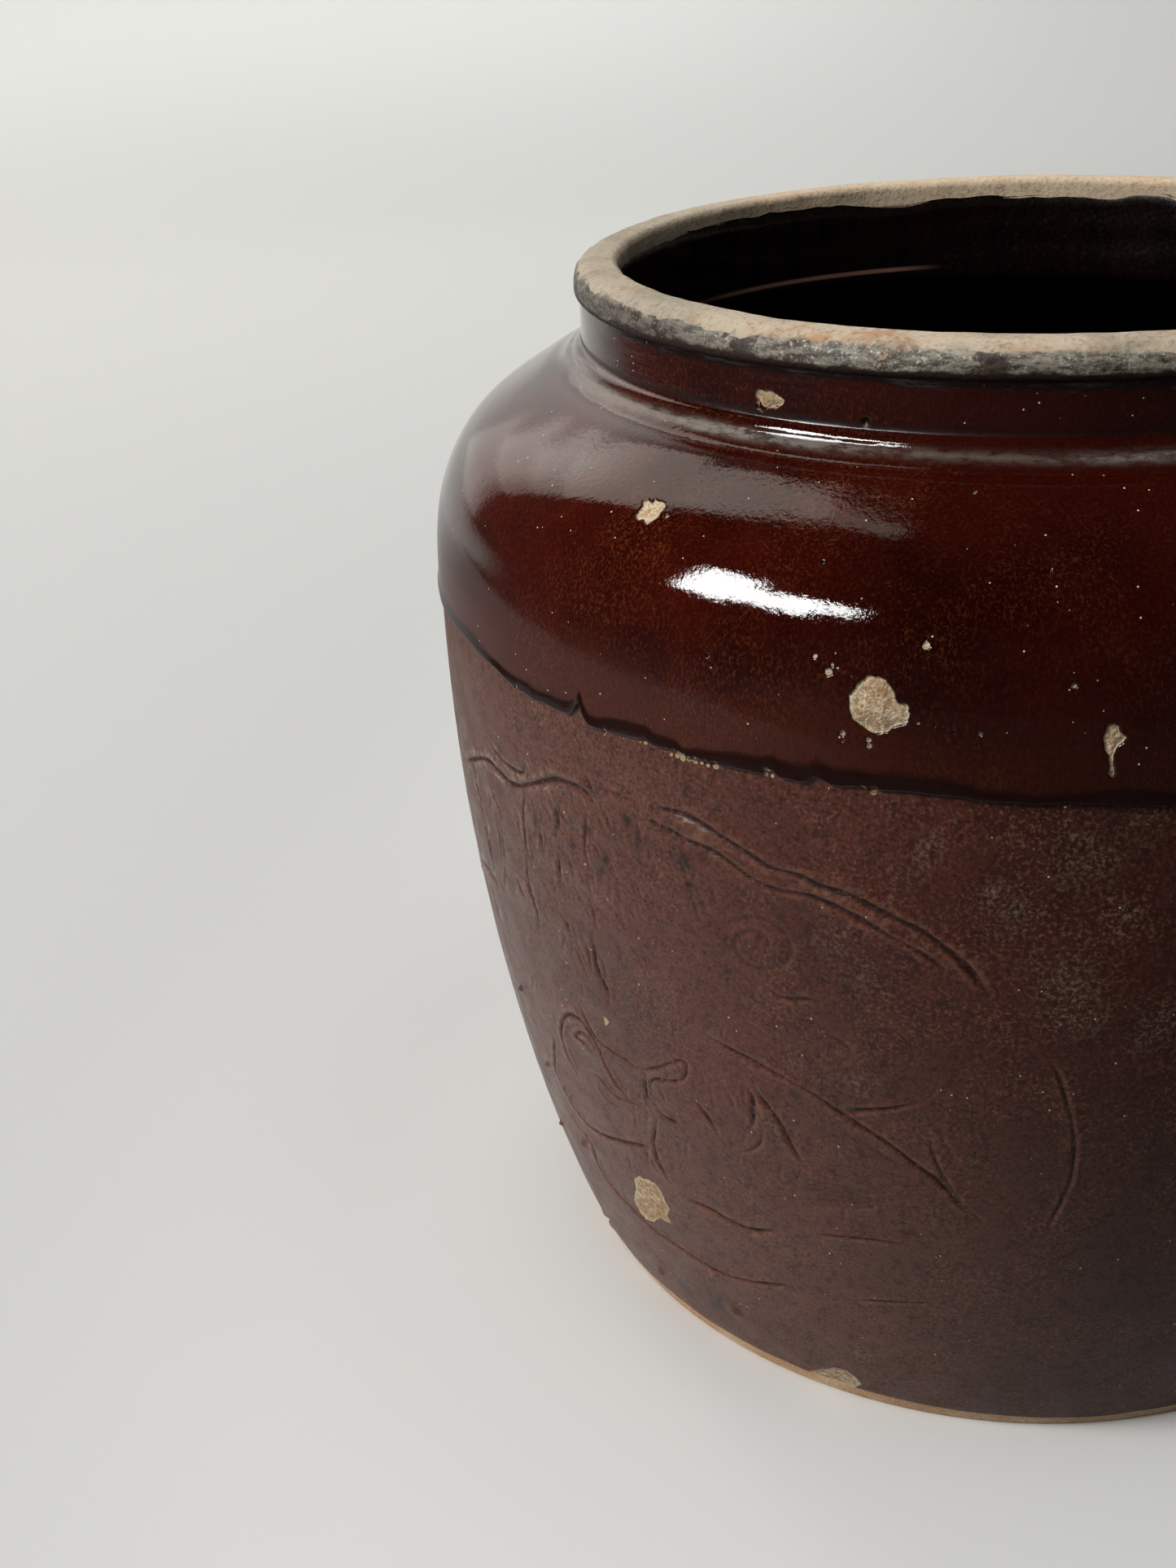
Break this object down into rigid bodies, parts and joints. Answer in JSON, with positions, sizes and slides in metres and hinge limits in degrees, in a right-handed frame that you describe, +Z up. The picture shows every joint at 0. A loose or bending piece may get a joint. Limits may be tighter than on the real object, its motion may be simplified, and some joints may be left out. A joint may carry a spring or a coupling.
{
  "type": "storage jar",
  "caption": "Squat wide-mouthed stoneware storage jar, brown glazed, with a rolled rim, short neck, glossy shoulder coat and matte incised lower body.",
  "frame": {"origin": "centre of the foot, on the plane that the jar stands on", "axes": "+Z up along the jar's axis, -Y towards the jar's front"},
  "size_m": [0.3836, 0.3836, 0.34],
  "materials": {
    "stoneware_clay": "bare fired clay, buff, fine sandy grain",
    "rim_wash": "thin worn grey-green glaze, half matte",
    "body_glaze": "thin brown glaze, matte to satin",
    "shoulder_glaze": "glossy dark brown glaze with rusty speckle",
    "inner_glaze": "dark red-brown glaze, satin"
  },
  "bodies": {
    "root": {"base_slab": "stoneware_clay", "base_corner_coil": "stoneware_clay", "lower_wall": "stoneware_clay", "belly_seam_slip": "stoneware_clay", "upper_wall": "stoneware_clay", "neck_bead": "stoneware_clay", "neck_collar": "stoneware_clay", "rim_roll": "stoneware_clay", "rim_wash": "rim_wash", "body_glaze": "body_glaze", "shoulder_glaze": "shoulder_glaze", "inner_glaze": "inner_glaze"}
  },
  "joints": []
}
